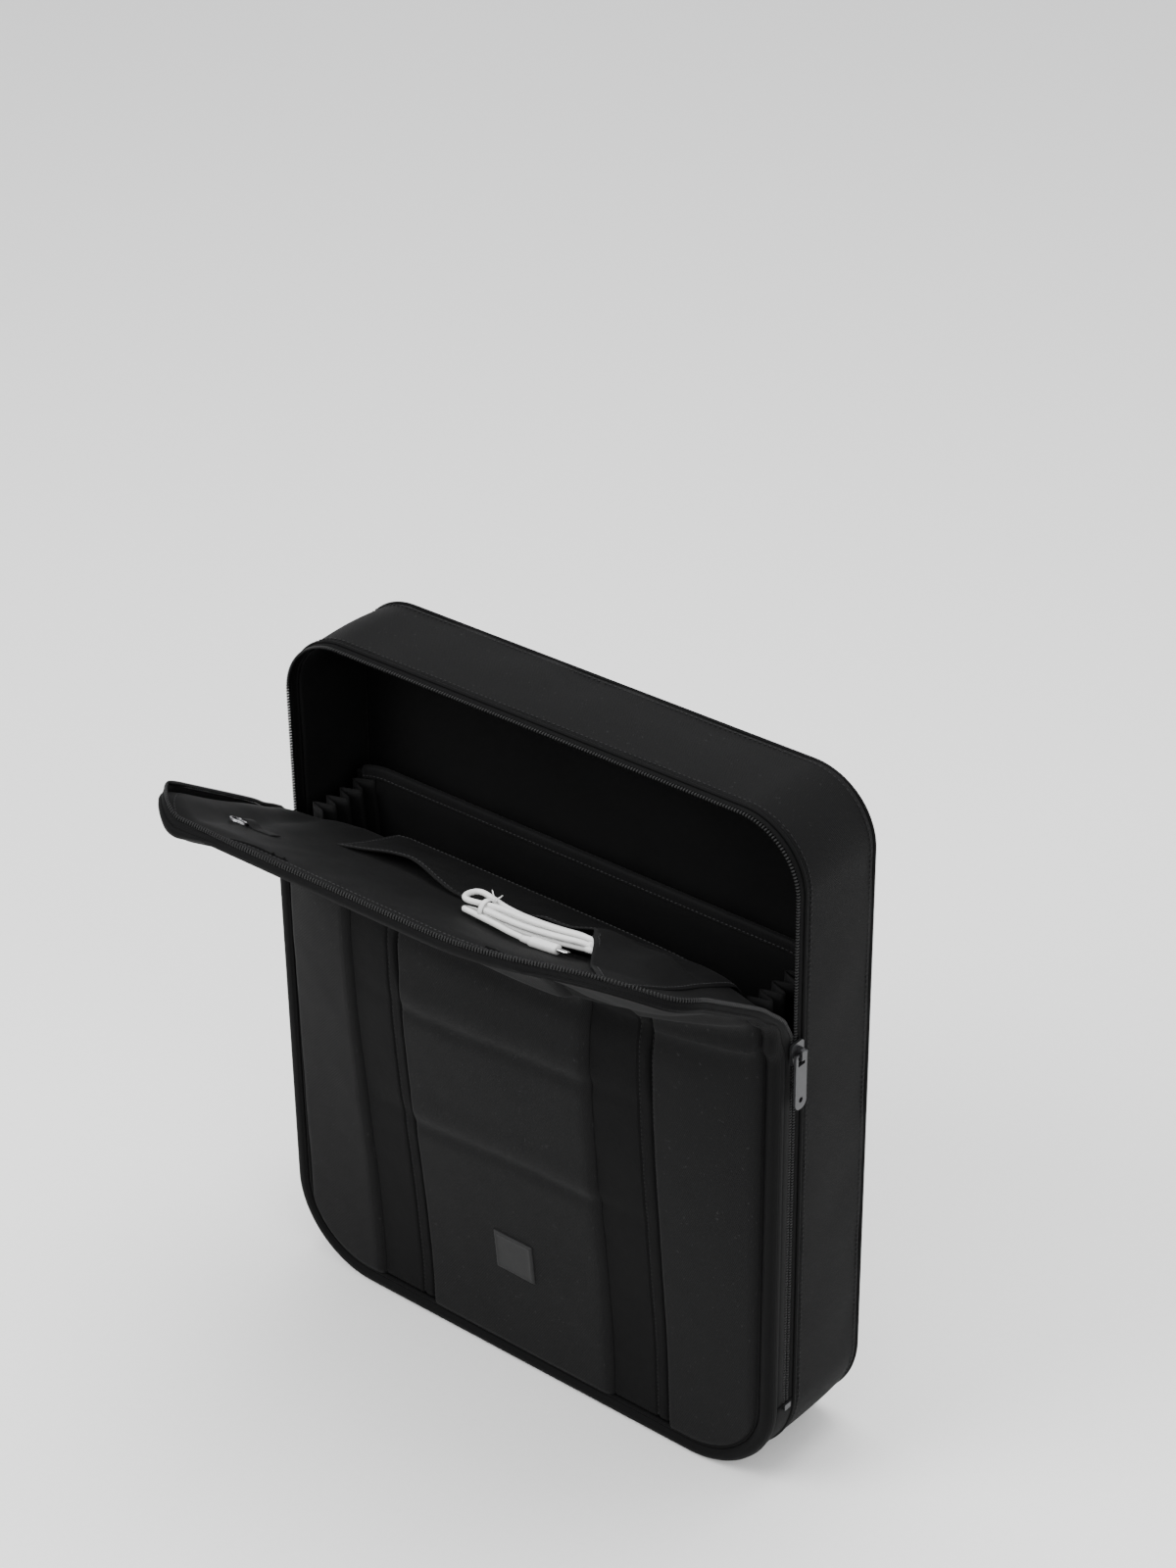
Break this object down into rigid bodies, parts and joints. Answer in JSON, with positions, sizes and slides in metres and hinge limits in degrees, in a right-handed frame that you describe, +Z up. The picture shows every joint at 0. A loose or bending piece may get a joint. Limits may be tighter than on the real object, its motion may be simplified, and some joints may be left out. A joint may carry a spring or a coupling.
{
  "type": "cable organizer pouch",
  "caption": "Soft zipped organizer pouch with a fold-down padded flap, slip pocket holding a charging cable, laptop sleeve and rear compartment.",
  "frame": {"origin": "middle of the flat base, half way between the front and back faces", "axes": "+Z up, +X to the right seen from the front, -Y out of the front panel"},
  "size_m": [0.3878, 0.2088, 0.444],
  "materials": {
    "panel_fabric": "matt black padded polyester twill",
    "band_fabric": "darker recessed band of the same cloth",
    "edge_fabric": "black ribbed edge strip",
    "gusset_fabric": "black woven gusset",
    "lining_fabric": "thin black lining",
    "zip_tape": "black herringbone zip tape",
    "zip_coil": "black nylon coil",
    "dark_metal": "black lacquered zinc",
    "steel": "dark plated wire",
    "patch": "soft grey rubber patch",
    "foam": "closed cell foam",
    "board": "polyethylene board",
    "cable_jacket": "white soft satin jacket",
    "cable_tip": "plated connector",
    "tie": "white twist tie"
  },
  "bodies": {
    "pouch": {"gusset_rear": "gusset_fabric", "back_panel": "gusset_fabric", "back_board": "board", "compartment_lining": "lining_fabric", "bottom_seam_tape": "zip_tape", "sleeve_bellows_right": "lining_fabric", "sleeve_bellows_left": "lining_fabric", "patch": "patch", "zip_stop_right": "dark_metal", "zip_stop_left": "dark_metal", "zip_tape_rear": "zip_tape", "zip_coil_rear": "zip_coil", "zip_tape_front_right": "zip_tape", "zip_coil_front_right": "zip_coil", "zip_tape_front_left": "zip_tape", "zip_coil_front_left": "zip_coil", "front_panel_left": "panel_fabric", "front_panel_center": "panel_fabric", "front_panel_right": "panel_fabric", "front_band_left": "band_fabric", "front_band_right": "band_fabric", "front_foam": "foam", "front_lining": "lining_fabric", "front_edge_strip": "edge_fabric"},
    "flap": {"flap_panel_left": "panel_fabric", "flap_panel_center": "panel_fabric", "flap_panel_right": "panel_fabric", "flap_band_left": "band_fabric", "flap_band_right": "band_fabric", "flap_foam": "foam", "flap_lining": "lining_fabric", "flap_edge_strip": "edge_fabric", "slip_pocket": "lining_fabric", "pocket_binding": "edge_fabric", "key_tab": "edge_fabric", "zip_tape_flap": "zip_tape", "zip_coil_flap": "zip_coil"},
    "key_ring": {"key_ring": "steel"},
    "slider_right": {"slider_right": "dark_metal"},
    "slider_left": {"slider_left": "dark_metal"},
    "pull_right": {"pull_right": "dark_metal"},
    "pull_left": {"pull_left": "dark_metal"},
    "cable": {"cable_hank": "cable_jacket", "cable_tie": "tie", "cable_plug": "cable_jacket", "cable_plug_tip": "cable_tip", "cable_far_plug": "cable_jacket"},
    "divider": {"laptop_divider": "lining_fabric", "divider_binding": "edge_fabric"}
  },
  "joints": [
    {"name": "flap_fold", "type": "hinge", "parent": "pouch", "child": "flap", "pos_m": [0, -0.044, 0.3], "axis": [1, 0, 0], "range_deg": [-57, 90]},
    {"name": "slider_right_run", "type": "slide", "parent": "pouch", "child": "slider_right", "axis": [0, 0, 1], "range_m": [-0.238, 0.086]},
    {"name": "slider_left_run", "type": "slide", "parent": "pouch", "child": "slider_left", "axis": [0, 0, 1], "range_m": [-0.238, 0.086]},
    {"name": "pull_right_swing", "type": "hinge", "parent": "slider_right", "child": "pull_right", "pos_m": [0.1917, -0.028, 0.307], "axis": [0, -1, 0], "range_deg": [0, 170]},
    {"name": "pull_left_swing", "type": "hinge", "parent": "slider_left", "child": "pull_left", "pos_m": [-0.1917, -0.028, 0.307], "axis": [0, 1, 0], "range_deg": [0, 170]},
    {"name": "key_ring_swing", "type": "hinge", "parent": "flap", "child": "key_ring", "pos_m": [-0.1416, -0.1087, 0.36562], "axis": [0, 0.8387, -0.5446], "range_deg": [0, 130]},
    {"name": "cable_slide", "type": "slide", "parent": "flap", "child": "cable", "axis": [0, -0.8387, 0.5446], "range_m": [0, 0.06]},
    {"name": "divider_lean", "type": "hinge", "parent": "pouch", "child": "divider", "pos_m": [0, 0.016, 0.0047], "axis": [1, 0, 0], "range_deg": [-2, 2.5], "deforming": ["sleeve_bellows_right", "sleeve_bellows_left"]}
  ]
}
